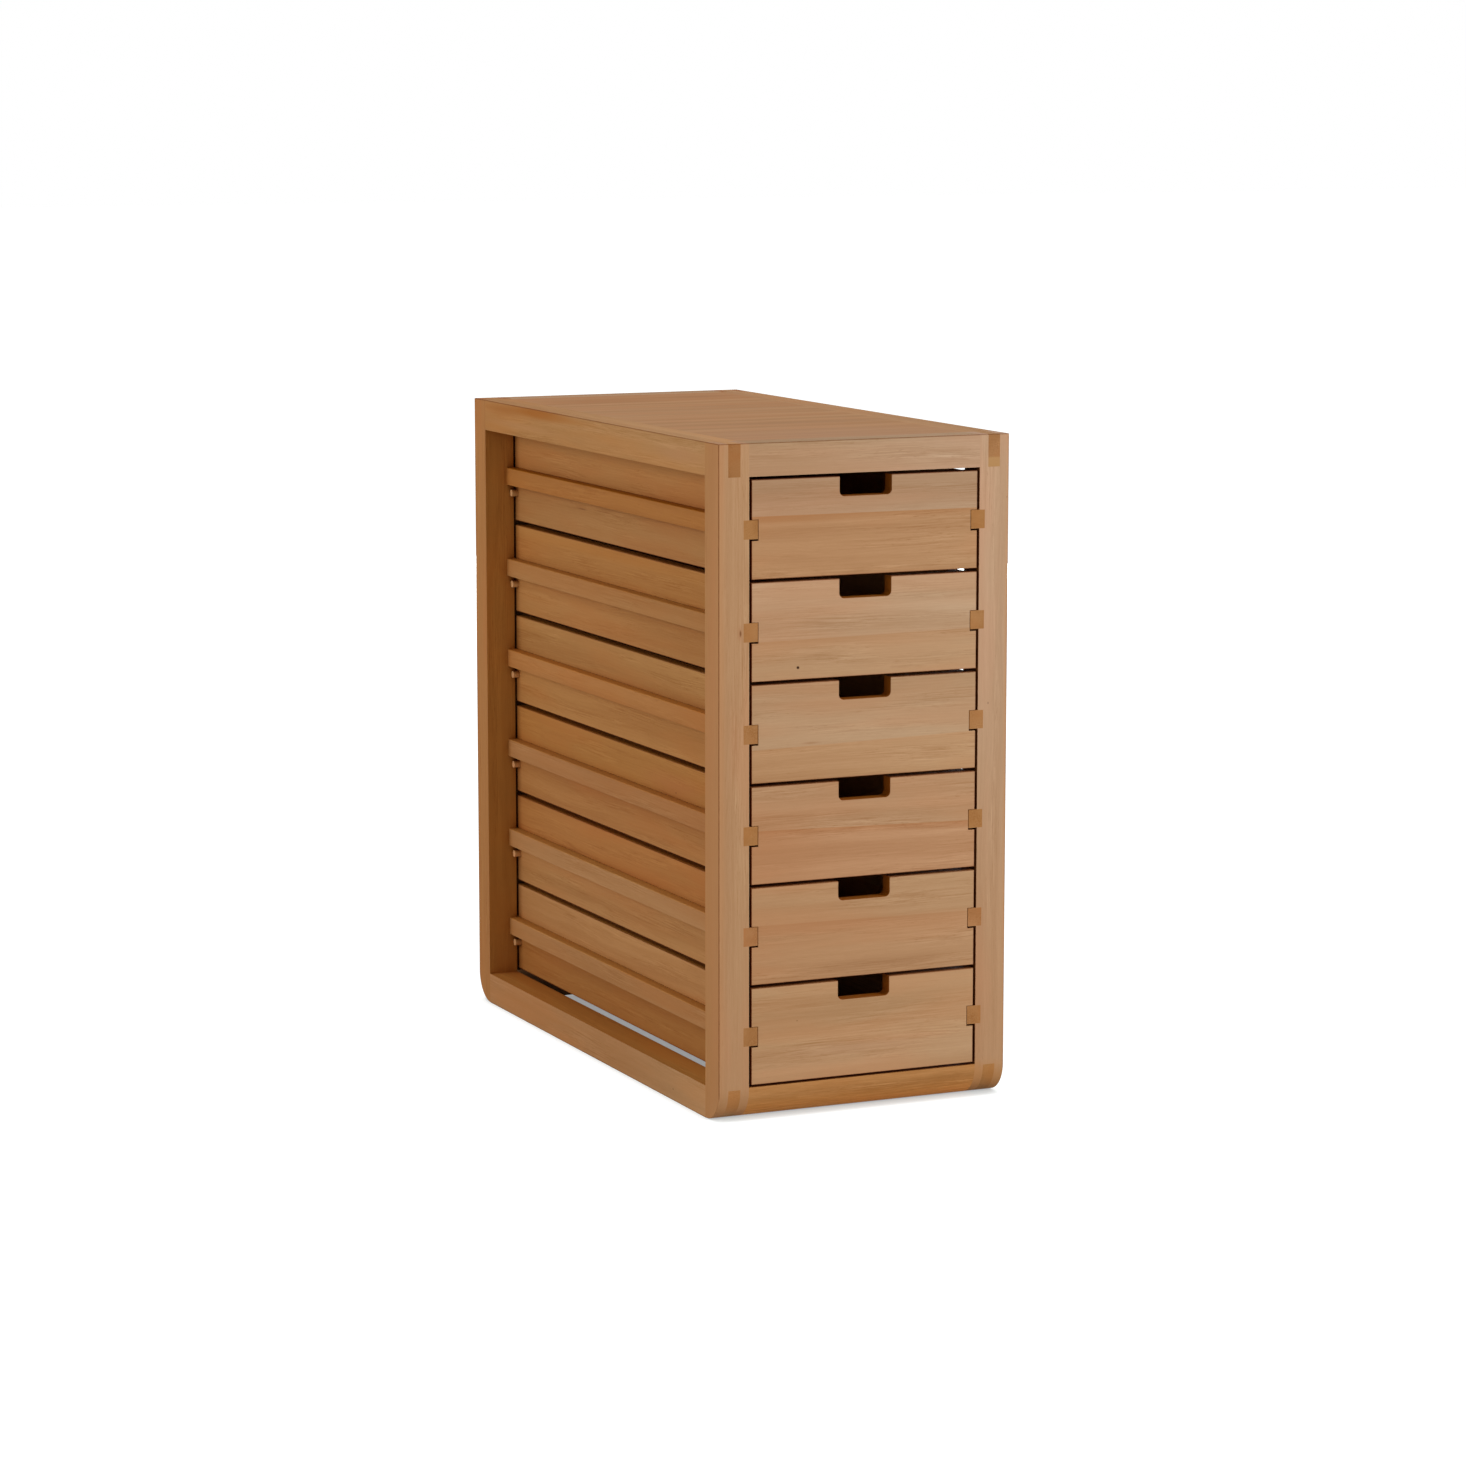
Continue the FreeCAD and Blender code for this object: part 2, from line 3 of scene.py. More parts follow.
import bpy
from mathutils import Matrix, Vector


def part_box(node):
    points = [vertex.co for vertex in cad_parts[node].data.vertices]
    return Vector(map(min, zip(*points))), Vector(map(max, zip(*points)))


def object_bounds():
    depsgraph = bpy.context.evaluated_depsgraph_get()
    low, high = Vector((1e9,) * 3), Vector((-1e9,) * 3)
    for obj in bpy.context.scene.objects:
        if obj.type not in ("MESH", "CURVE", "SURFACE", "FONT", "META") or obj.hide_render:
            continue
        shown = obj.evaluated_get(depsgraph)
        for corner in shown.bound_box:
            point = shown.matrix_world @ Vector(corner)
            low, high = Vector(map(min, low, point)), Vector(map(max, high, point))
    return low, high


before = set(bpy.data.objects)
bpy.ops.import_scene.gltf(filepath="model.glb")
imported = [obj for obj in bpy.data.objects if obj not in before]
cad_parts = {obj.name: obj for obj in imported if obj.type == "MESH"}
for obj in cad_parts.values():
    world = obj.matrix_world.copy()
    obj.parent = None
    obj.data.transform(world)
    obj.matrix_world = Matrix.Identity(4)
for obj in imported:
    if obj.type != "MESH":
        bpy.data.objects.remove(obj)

# Looks of the six-drawer cabinet: wood for every piece, a pale floor, soft lamps and the camera.
#
# Scene units are metres. The wood is worked out in millimetres of each piece's own coordinates,
# which are its place in the shut cabinet, and a drawer that slides takes them along.

MM = 1000  # millimetres in a metre
DRAWERS = range(1, 7)
X, Y, Z = range(3)
LEFT, RIGHT, FRONT, BACK = (-1, 0, 0), (1, 0, 0), (0, -1, 0), (0, 1, 0)
DOWN, UP = (0, 0, -1), (0, 0, 1)


def millimetres(corner):
    return tuple(MM * value for value in corner)


cad_low, cad_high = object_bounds()
LOWEST, HIGHEST = millimetres(cad_low), millimetres(cad_high)


# Colours

def linear(colour):
    """An sRGB colour of 0 to 255 as linear light."""
    parts = [value / 255 for value in colour]
    return tuple(part / 12.92 if part <= 0.04045 else ((part + 0.055) / 1.055) ** 2.4 for part in parts)


def opaque(colour):
    return (*colour, 1)


# Woods: the two ends of the grain's range, and a warm tint that comes and goes in broad patches
WOODS = {
    "front": ((168, 124, 84), (198, 158, 119), (194, 140, 98)),
    "post": ((166, 122, 84), (194, 156, 118), (190, 136, 98)),
    "pale": ((170, 132, 98), (202, 166, 134), (196, 146, 114)),
    "rail": ((158, 108, 58), (188, 138, 86), (184, 120, 62)),
    "top": ((164, 118, 74), (190, 148, 104), (184, 130, 84)),
    "side": ((154, 100, 48), (184, 132, 74), (176, 112, 56)),
    "runner": ((156, 104, 54), (182, 132, 80), (176, 116, 62)),
    "inner": ((154, 106, 60), (182, 134, 86), (176, 122, 74)),
}
KNOT = (96, 56, 28)
DARK_KNOT = (78, 44, 22)
BLACK_KNOT = (52, 28, 14)

# Tints that multiply the wood's colour, many of them painted light and shade
END_TINT = (1.0, 0.98, 1.06)  # end grain
FRONT_END_GRAIN_SHADE_TINT = (0.66, 0.36, 0.09)  # end grain of the drawer fronts, darker as end grain and darkened further as painted shade in the gaps beside them
EDGE_SHADE_TINT = (0.34, 0.20, 0.10)  # painted shade along the frame's eased edges
GAP_SHADE_TINT = (0.34, 0.10, 0.01)  # painted shade of the gaps, along the edges of the drawers' boards
RECESS_SHADE_TINT = (0.66, 0.42, 0.08)  # painted shade near an inner corner
# painted shade near an inner corner of a runner
RUNNER_RECESS_SHADE_TINT = (0.86, 0.70, 0.12)
DEEP_GAP_SHADE_TINT = (0.22, 0.05, 0.01)  # painted shade deep in a gap
NOTCH_SHADE_TINT = (0.72, 0.37, 0.05)  # painted shade on the walls of a finger notch
SEAM_TINT = (0.86, 0.74, 0.62)  # the dark grain under a glued joint
FRONT_LEFT_SHADE, FRONT_RIGHT_LIGHT = (0.99, 0.965, 0.94), (1.01, 1.035, 1.06)  # painted shade at the left end and painted light at the right end of a drawer front

# Places in millimetres
SEAM_BLUR = 0.6
SEAM_SHADE = 9.0  # how far the dark grain reaches below a glued joint
# where the painted light across a drawer front starts and stops
FRONT_LIGHT_ENDS = (-140.0, 140.0)
NOTCH_HALF = 30.5  # half the width of a finger notch
NOTCH_BLUR = (0.1, 1.0)
RECESS_FADE = (2.0, 30.0)  # heights between which the painted recess shade fades in, clear of the floor

# Ambient occlusion for the painted recess shade, as open share of the surroundings
RECESS_REACH = 0.02  # metres
RECESS_OPEN = 0.92
DEEP_OPEN = 0.45

# Shares of the grain's layers in its tone, where 0 is the deep end of its range and 1 the pale end
BASE_TONE = 0.31
BAND_SHARE = 0.50
LAYER_SHARES = {"Ring": -0.07, "Streak": 1.8, "Dash": -0.8}
FIBRE_SHARE = 0.6
WARM_SHARE = 0.45

# Surface
SPECULAR = 0.1
ROUGHNESS, FIBRE_ROUGHNESS = 0.68, 0.12
BUMP_STRENGTH, BUMP_DEPTH = 0.12, 0.0002

# Features of the grain: millimetres along it and across it, detail, roughness
FEATURES = {
    "bend": (300, 70, 2.0, 0.5),
    "band": (900, 26, 3.0, 0.5),
    "patch": (260, 34, 2.0, 0.5),
    "busy": (190, 16, 2.0, 0.5),
    "streak": (60, 1.4, 2.0, 0.5),
    "dash": (9, 0.5, 1.0, 0.5),
    "fibre": (18, 0.5, 3.0, 0.7),
    "wobble": (160, 14, 2.0, 0.5),
}
BEND_BY = 14.0  # millimetres that the grain strays sideways
WOBBLE_BY = 9.0  # millimetres that the growth rings stray
RING_WIDTH = 3.1

# Turns that bring each grain direction to X
TURNS = {"x": (0, 0, 0), "y": (0, 0, math.radians(-90)), "z": (0, math.radians(90), 0)}
AXES = {"x": (1, 0, 0), "y": (0, 1, 0), "z": (0, 0, 1)}


# Node helpers

class Graph:
    """Adds nodes to a node tree and links them. A value is a number, a colour, a vector or a socket."""

    def __init__(self, tree):
        self.tree = tree

    def node(self, kind, settings=None, **values):
        node = self.tree.nodes.new(kind)
        for name, setting in (settings or {}).items():
            setattr(node, name, setting)
        for name, value in values.items():
            self.feed(node.inputs[name.replace("_", " ")], value)
        return node

    def feed(self, socket, value):
        if isinstance(value, bpy.types.NodeSocket):
            self.tree.links.new(value, socket)
        else:
            socket.default_value = value

    def numbers(self, operation, *values):
        node = self.node("ShaderNodeMath", {"operation": operation})
        for socket, value in zip(node.inputs, values):
            self.feed(socket, value)
        return node.outputs[0]

    def vectors(self, operation, *values):
        node = self.node("ShaderNodeVectorMath", {"operation": operation})
        for socket, value in zip(node.inputs, values):
            self.feed(socket, value)
        return node.outputs["Value" if operation in ("LENGTH", "DOT_PRODUCT") else "Vector"]

    def scaled(self, vector, factor):
        node = self.node("ShaderNodeVectorMath", {"operation": "SCALE"}, Scale=factor)
        self.feed(node.inputs[0], vector)
        return node.outputs["Vector"]

    def parts(self, vector):
        """The three numbers of a vector, by axis."""
        return self.node("ShaderNodeSeparateXYZ", Vector=vector).outputs

    def span(self, value, low, high, to_low=0.0, to_high=1.0):
        """Map a value smoothly from one range to another, and hold it at both ends."""
        node = self.node("ShaderNodeMapRange", {"interpolation_type": "SMOOTHSTEP"})
        for name, number in (("Value", value), ("From Min", low), ("From Max", high)):
            self.feed(node.inputs[name], number)
        self.feed(node.inputs["To Min"], to_low)
        self.feed(node.inputs["To Max"], to_high)
        return node.outputs["Result"]

    def feature(self, name, position):
        """Noise with the size of a feature of the grain."""
        along, across, detail, roughness = FEATURES[name]
        place = self.vectors("MULTIPLY", position, (1 / along, 1 / across, 1 / across))
        node = self.node("ShaderNodeTexNoise", Vector=place, Scale=1.0, Detail=detail, Roughness=roughness)
        return node.outputs["Fac"]

    def mix(self, factor, first, second, blend="MIX"):
        node = self.node("ShaderNodeMix", {"data_type": "RGBA", "blend_type": blend})
        self.feed(node.inputs["Factor"], factor)
        self.feed(node.inputs[6], first)
        self.feed(node.inputs[7], second)
        return node.outputs[2]

    def times(self, colour, other):
        return self.mix(1.0, colour, other, "MULTIPLY")

    def tinted(self, factor, colour, tint):
        """The colour times a tint, as far as the factor says."""
        return self.mix(factor, colour, self.times(colour, opaque(tint)))


def new_group(name, inputs, outputs):
    """An empty node group, with its input and output sockets by name."""
    tree = bpy.data.node_groups.new(name, "ShaderNodeTree")
    kinds = {"number": "NodeSocketFloat", "vector": "NodeSocketVector", "colour": "NodeSocketColor"}
    for direction, sockets in (("INPUT", inputs), ("OUTPUT", outputs)):
        for socket, kind in sockets:
            tree.interface.new_socket(socket, in_out=direction, socket_type=kinds[kind])
    graph = Graph(tree)
    source = graph.node("NodeGroupInput").outputs
    target = graph.node("NodeGroupOutput").inputs
    return graph, source, target


def use_group(graph, tree, **values):
    return graph.node("ShaderNodeGroup", {"node_tree": tree}, **values).outputs


def grain_group():
    """Wood grain along X: broad bands, growth rings round a distant pith, and fine fibres."""
    layers = "Band", "Ring", "Streak", "Dash", "Fibre", "Patch"
    inputs = (("Position", "vector"),)
    graph, source, target = new_group("grain", inputs, [(layer, "number") for layer in layers])
    position = source["Position"]
    bend = graph.feature("bend", position)
    shift = graph.numbers("MULTIPLY", graph.numbers("SUBTRACT", bend, 0.5), BEND_BY)
    push = graph.node("ShaderNodeCombineXYZ", X=0.0, Y=shift, Z=shift).outputs[0]
    bent = graph.vectors("ADD", position, push)

    busy = graph.span(graph.feature("busy", bent), 0.44, 0.66, 0.12, 1.0)
    streak = graph.numbers("SUBTRACT", graph.feature("streak", bent), 0.5)
    dash = graph.span(graph.feature("dash", bent), 0.60, 0.78)

    across = graph.parts(bent)
    across = graph.node("ShaderNodeCombineXYZ", X=0.0, Y=across[Y], Z=across[Z]).outputs[0]
    wobble = graph.numbers("MULTIPLY", graph.feature("wobble", position), WOBBLE_BY)
    radius = graph.numbers("ADD", graph.vectors("LENGTH", across), wobble)
    turn = graph.numbers("FRACT", graph.numbers("DIVIDE", radius, RING_WIDTH))
    rise = graph.span(turn, 0.0, 0.82)
    fall = graph.span(turn, 0.86, 1.0, 1.0, 0.0)

    graph.feed(target["Band"], graph.span(graph.feature("band", bent), 0.3, 0.7))
    graph.feed(target["Ring"], graph.numbers("MULTIPLY", rise, fall))
    graph.feed(target["Streak"], graph.numbers("MULTIPLY", streak, busy))
    graph.feed(target["Dash"], graph.numbers("MULTIPLY", dash, busy))
    graph.feed(target["Fibre"], graph.feature("fibre", bent))
    graph.feed(target["Patch"], graph.span(graph.feature("patch", position), 0.42, 0.68))
    return graph.tree


def mark_group():
    """A soft oval of another colour, such as a knot or a stain."""
    graph, source, target = new_group(
        "mark",
        (("Colour", "colour"), ("Position", "vector"), ("Centre", "vector"), ("Radii", "vector"),
         ("Tint", "colour"), ("Strength", "number"), ("Core", "number")),
        (("Colour", "colour"),),
    )
    away = graph.vectors("SUBTRACT", source["Position"], source["Centre"])
    away = graph.vectors("LENGTH", graph.vectors("DIVIDE", away, source["Radii"]))
    factor = graph.span(away, source["Core"], 1.0, source["Strength"], 0.0)
    graph.feed(target["Colour"], graph.mix(factor, source["Colour"], source["Tint"]))
    return graph.tree


def edge_group():
    """Nearness to the edges of a box: 1 on an edge, 0 from the given reach on."""
    graph, source, target = new_group(
        "edge",
        (("Position", "vector"), ("Low", "vector"), ("High", "vector"), ("Reach", "number")),
        (("Edge", "number"),),
    )
    low = graph.vectors("SUBTRACT", source["Position"], source["Low"])
    high = graph.vectors("SUBTRACT", source["High"], source["Position"])
    near = graph.parts(graph.vectors("MINIMUM", low, high))
    least = graph.numbers("MINIMUM", near[X], near[Y])
    most = graph.numbers("MAXIMUM", near[X], near[Y])
    middle = graph.numbers("MAXIMUM", least, graph.numbers("MINIMUM", most, near[Z]))
    graph.feed(target["Edge"], graph.span(middle, 0.0, source["Reach"], 1.0, 0.0))
    return graph.tree


GRAIN = grain_group()
MARK = mark_group()
EDGE = edge_group()


# Layers of a board's colour, painted light and shade among them

def grown(graph, grained, kind, tint, contrast):
    """The grain's own colours."""
    deep, pale, warm = [
        opaque(part * share for part, share in zip(linear(tone), tint)) for tone in WOODS[kind]
    ]
    tone = graph.numbers("MULTIPLY", grained["Band"], BAND_SHARE)
    for layer, share in LAYER_SHARES.items():
        tone = graph.numbers("ADD", tone, graph.numbers("MULTIPLY", grained[layer], share * contrast))
    fine = graph.numbers("SUBTRACT", grained["Fibre"], 0.5)
    tone = graph.numbers("ADD", tone, graph.numbers("MULTIPLY", fine, FIBRE_SHARE * contrast))
    tone = graph.numbers("ADD", tone, BASE_TONE)
    warmth = graph.numbers("MULTIPLY", grained["Patch"], WARM_SHARE)
    return graph.mix(warmth, graph.mix(tone, deep, pale), warm)


def glued_up(graph, colour, position, seam, fades):
    """Two boards, one above the other, each with its tint. A drawer front is also painted darker at its
    left end and paler at its right, as painted light from the right.
    """
    height, slope, upper, lower, dark = seam
    place = graph.parts(position)
    level = graph.numbers("SUBTRACT", place[Z], graph.numbers("MULTIPLY", place[X], slope))
    below = graph.span(level, height - SEAM_BLUR, height + SEAM_BLUR, 1.0, 0.0)
    colour = graph.times(colour, graph.mix(below, opaque(upper), opaque(lower)))
    if fades:
        right = graph.span(place[X], *FRONT_LIGHT_ENDS)
        colour = graph.times(colour, graph.mix(right, opaque(FRONT_LEFT_SHADE), opaque(FRONT_RIGHT_LIGHT)))
    line = graph.numbers("MULTIPLY", graph.span(level, height - SEAM_SHADE, height, 0.0, dark), below)
    return graph.tinted(line, colour, SEAM_TINT)


def swept(graph, colour, position, sweep):
    """A tint that changes along the board."""
    axis, start, stop, first, last = sweep
    course = graph.span(graph.parts(position)[axis], start, stop)
    return graph.times(colour, graph.mix(course, opaque(first), opaque(last)))


def ended(graph, colour, position, normal, grain, end, notched):
    """The tint of the end grain, and painted shade on the walls of a finger notch."""
    ends = graph.numbers("ABSOLUTE", graph.vectors("DOT_PRODUCT", normal, AXES[grain]))
    ends = graph.span(ends, 0.6, 0.9)
    if not notched:
        return graph.tinted(ends, colour, end)
    start, stop = [NOTCH_HALF + blur for blur in NOTCH_BLUR]
    across = graph.numbers("ABSOLUTE", graph.parts(position)[X])
    middle = graph.span(across, start, stop, 1.0, 0.0)
    ends = graph.numbers("MULTIPLY", ends, graph.numbers("SUBTRACT", 1.0, middle))
    outer = graph.numbers("ABSOLUTE", graph.vectors("DOT_PRODUCT", normal, FRONT))
    walls = graph.numbers("MULTIPLY", middle, graph.span(outer, 0.4, 0.9, 1.0, 0.0))
    return graph.tinted(walls, graph.tinted(ends, colour, end), NOTCH_SHADE_TINT)


def edge_shaded(graph, colour, position, normal, lines):
    """Painted shade along the edges of a box, fainter on the eased edge itself."""
    low, high, tint, reach, strength = lines
    near = use_group(graph, EDGE, Position=position, Low=low, High=high, Reach=reach)["Edge"]
    faces = graph.parts(graph.vectors("ABSOLUTE", normal))
    most = graph.numbers("MAXIMUM", graph.numbers("MAXIMUM", faces[X], faces[Y]), faces[Z])
    slant = graph.span(most, 0.78, 0.97, strength, 0.75 * strength)
    return graph.tinted(graph.numbers("MULTIPLY", near, slant), colour, tint)


def recess_shaded(graph, colour, position, tint):
    """Painted shade: a warm dark in inner corners, and a darker one deep in a gap."""
    settings = {"samples": 6}
    open_share = graph.node("ShaderNodeAmbientOcclusion", settings, Distance=RECESS_REACH).outputs["AO"]
    raised = graph.span(graph.parts(position)[Z], *RECESS_FADE)
    for until, shade in ((RECESS_OPEN, tint), (DEEP_OPEN, DEEP_GAP_SHADE_TINT)):
        shut = graph.numbers("MULTIPLY", raised, graph.span(open_share, 0.0, until, 1.0, 0.0))
        colour = graph.tinted(shut, colour, shade)
    return colour


def wood(name, kind, grain, seed, contrast=1.0, tint=(1, 1, 1), end=END_TINT, lines=None, facing=(),
         sweep=None, seam=None, notched=False, recess=RECESS_SHADE_TINT, marks=()):
    """A board's wood, with painted light and shade on it. Lengths are in millimetres.

    lines: painted shade along the edges of a box, as its low and high corner, the tint along its edges,
    how far it reaches, strength
    facing: painted light and shade, as directions, each with the tint of the faces that look that way
    sweep: axis, start, stop, tint at the start, tint at the stop
    seam: height and slope of a glued joint, tints above and below it, how dark the grain under it is
    marks: knots and stains, each with its centre, radii, colour, strength and the share of its
        radius that keeps the full strength
    """
    material = bpy.data.materials.new(f"wood_{name}")
    material.use_nodes = True
    shader = material.node_tree.nodes["Principled BSDF"]
    graph = Graph(material.node_tree)
    position = graph.scaled(graph.node("ShaderNodeTexCoord").outputs["Object"], float(MM))
    normal = graph.node("ShaderNodeNewGeometry").outputs["Normal"]
    turned = graph.node("ShaderNodeVectorRotate", {"rotation_type": "EULER_XYZ"}, Vector=position,
                        Rotation=TURNS[grain]).outputs[0]
    # Each seed cuts the board from another place, and at another distance from the pith
    pith = (211.0 * seed, 74.0 + 17.0 * (seed % 5), 96.0 - 61.0 * (seed % 4))
    grained = use_group(graph, GRAIN, Position=graph.vectors("ADD", turned, pith))

    colour = grown(graph, grained, kind, tint, contrast)
    if seam:
        colour = glued_up(graph, colour, position, seam, fades=notched)
    if sweep:
        colour = swept(graph, colour, position, sweep)
    colour = ended(graph, colour, position, normal, grain, end, notched)
    # painted light and shade: faces that look each way get their own tint
    for direction, shade in facing:
        faces = graph.span(graph.vectors("DOT_PRODUCT", normal, direction), 0.2, 0.85)
        colour = graph.tinted(faces, colour, shade)
    for centre, radii, paint, strength, core in marks:
        colour = use_group(graph, MARK, Colour=colour, Position=position, Centre=centre, Radii=radii,
                           Tint=opaque(linear(paint)), Strength=strength, Core=core)["Colour"]
    if lines:
        colour = edge_shaded(graph, colour, position, normal, lines)
    colour = recess_shaded(graph, colour, position, recess)

    graph.feed(shader.inputs["Base Color"], colour)
    shader.inputs["Specular IOR Level"].default_value = SPECULAR
    rough = graph.numbers("MULTIPLY", grained["Fibre"], FIBRE_ROUGHNESS)
    graph.feed(shader.inputs["Roughness"], graph.numbers("ADD", ROUGHNESS, rough))
    bump = graph.node("ShaderNodeBump", Strength=BUMP_STRENGTH, Distance=BUMP_DEPTH,
                      Height=grained["Fibre"])
    graph.feed(shader.inputs["Normal"], bump.outputs["Normal"])
    return material


def dress(name, kind, grain, seed, **options):
    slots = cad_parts[name].data.materials
    slots.clear()
    slots.append(wood(name, kind, grain, seed, **options))


# Places of marks

def on_front(across, height):
    return across, LOWEST[Y], height


def on_left(along, height):
    return LOWEST[X], along, height


def on_top(across, along):
    return across, along, HIGHEST[Z]


def on_drawer_side(along, height):
    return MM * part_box("drawer_1_left_side")[0][X], along, height


# Frame

# painted shade along the cabinet's outer eased edges
FRAME_EDGE_SHADE = (LOWEST, HIGHEST, EDGE_SHADE_TINT, 1.5, 0.9)
# painted shade: the left and right faces of a post darker and more orange than its front
SIDE_FACE_SHADE_TINT = (0.82, 0.675, 0.45)
# painted light and shade on a post: shaded left and right faces, a lighter underside
POST_FACE_LIGHT = ((LEFT, SIDE_FACE_SHADE_TINT), (RIGHT, SIDE_FACE_SHADE_TINT), (DOWN, (1.4, 1.3, 1.15)))
# painted light on a rear post: its front face lighter and yellower, its back face lighter and bluer
REAR_POST_FACE_LIGHT = ((FRONT, (1.245, 1.25, 0.86)), (BACK, (1.18, 1.34, 1.8)))
# painted shade on a rear rail's back face
REAR_RAIL_FACE_SHADE = ((BACK, (0.94, 0.88, 0.78)),)
# painted shade on a side base rail's top face, under the drawers
SIDE_BASE_TOP_SHADE = ((UP, (1.0, 0.82, 0.40)),)
REAR_POST_TINT = (0.98, 0.93, 1.0)


def member(name, kind, grain, seed, **options):
    """A post or rail, with painted shade along the frame's eased edges."""
    dress(name, kind, grain, seed, lines=FRAME_EDGE_SHADE, **options)


member(
    "front_left_post", "post", "z", 1, tint=(1.06, 1.04, 1.01), facing=POST_FACE_LIGHT,
    marks=(
        (on_front(-172, 400), (13, 60, 900), (190, 136, 90), 0.6, 0.2),
        (on_front(-145.0, 523.2), (1.5, 4, 4.6), DARK_KNOT, 0.95, 0.25),
        (on_front(-145.5, 523), (4, 6, 12), (168, 112, 72), 0.5, 0.0),
        (on_front(-152, 4), (46, 60, 40), (178, 128, 82), 0.6, 0.3),
    ),
)
member(
    "front_right_post", "pale", "z", 2, tint=(1.02, 1.0, 0.97), facing=POST_FACE_LIGHT,
    sweep=(Z, 520, 60, (1.0, 1.03, 1.07), (0.97, 0.91, 0.83)),
    marks=(
        (on_front(174, 400), (10, 60, 900), (190, 136, 90), 0.7, 0.3),
        (on_front(147.3, 432.6), (1.0, 4, 1.8), KNOT, 0.6, 0.2),
        (on_front(167.9, 653.9), (0.8, 4, 1.4), KNOT, 0.6, 0.2),
        (on_front(150, 4), (50, 60, 42), (186, 134, 84), 0.9, 0.4),
        (on_front(136, 16), (13, 60, 30), (188, 134, 84), 0.75, 0.4),
    ),
)
member("rear_left_post", "side", "z", 3, tint=REAR_POST_TINT, facing=REAR_POST_FACE_LIGHT)
member("rear_right_post", "side", "z", 4, tint=REAR_POST_TINT, facing=REAR_POST_FACE_LIGHT)
member(
    "left_top_rail", "rail", "y", 5, tint=(1.03, 1.06, 1.14), end=(0.73, 0.61, 0.51),
    # painted light: its top face lighter and cooler
    facing=((UP, (1.08, 1.09, 1.17)),),
    sweep=(Y, 315, -315, (0.95, 0.92, 0.82), (1.05, 1.12, 1.22)),
    marks=(
        (on_left(262, 715), (8, 100, 10), (164, 104, 50), 0.85, 0.0),
        (on_left(150, 717.5), (8, 135, 10), (162, 98, 38), 1.0, 0.15),
        (on_left(60, 716), (8, 150, 6), (170, 112, 56), 0.6, 0.0),
        (on_left(205, 699), (8, 150, 8), (186, 136, 88), 0.5, 0.0),
        (on_left(-255, 704), (8, 90, 14), (182, 130, 88), 0.5, 0.0),
    ),
)
member(
    "right_top_rail", "rail", "y", 6, tint=(1.03, 1.06, 1.12), end=(0.84, 0.80, 0.84),
    # painted light: its top face lighter and cooler
    facing=((UP, (1.04, 1.10, 1.34)),),
    marks=((on_front(152, 690), (30, 4, 8.5), (186, 144, 94), 0.7, 0.75),),
)
member(
    "left_base_rail", "rail", "y", 7, tint=(1.05, 1.08, 1.26), end=(0.87, 0.74, 0.56),
    facing=SIDE_BASE_TOP_SHADE,
    sweep=(Y, -40, -320, (0.95, 0.92, 0.90), (1.06, 1.18, 1.36)),
    marks=(
        (on_left(-230.8, 12.4), (4, 2.4, 0.9), KNOT, 0.7, 0.2),
        ((-145.3, 124.3, 36), (1.2, 3.4, 4), KNOT, 0.7, 0.2),
    ),
)
member(
    "right_base_rail", "rail", "y", 8, tint=(1.03, 1.05, 1.18), end=(0.98, 0.95, 0.84),
    facing=SIDE_BASE_TOP_SHADE,
)
member(
    "front_top_rail", "pale", "x", 9, tint=(0.94, 0.955, 0.95), contrast=1.5,
    # painted shade: its top face darker
    facing=((UP, (0.92, 0.90, 0.86)),),
    sweep=(X, -140, 140, (0.93, 0.915, 0.83), (1.06, 1.09, 1.13)),
)
member("rear_top_rail", "post", "x", 10, facing=REAR_RAIL_FACE_SHADE)
member(
    "front_base_rail", "rail", "x", 11, tint=(1.10, 1.06, 1.02), contrast=2.4,
    # painted light on its rounded underside, lifting the shade near the floor
    facing=((DOWN, (1.65, 1.6, 1.45)),),
)
member("rear_base_rail", "post", "x", 12, facing=REAR_RAIL_FACE_SHADE)
dress(
    "top_panel", "top", "x", 13, tint=(1.02, 0.97, 0.96), contrast=0.7,
    sweep=(Y, 330, 60, (1.03, 0.97, 0.88), (1.0, 1.0, 1.0)),
    marks=(
        (on_top(-55, 248), (120, 50, 9), (166, 110, 64), 0.55, 0.0),
        (on_top(75, 262), (90, 26, 9), (156, 108, 68), 0.5, 0.0),
        (on_top(0, 330), (300, 160, 9), (176, 122, 80), 0.4, 0.0),
        (on_top(20, -128), (220, 22, 9), (158, 112, 76), 0.45, 0.0),
        (on_top(0, -300), (260, 170, 9), (176, 134, 106), 0.4, 0.0),
    ),
)
dress("back_panel", "inner", "z", 14)


# Drawers and their runners

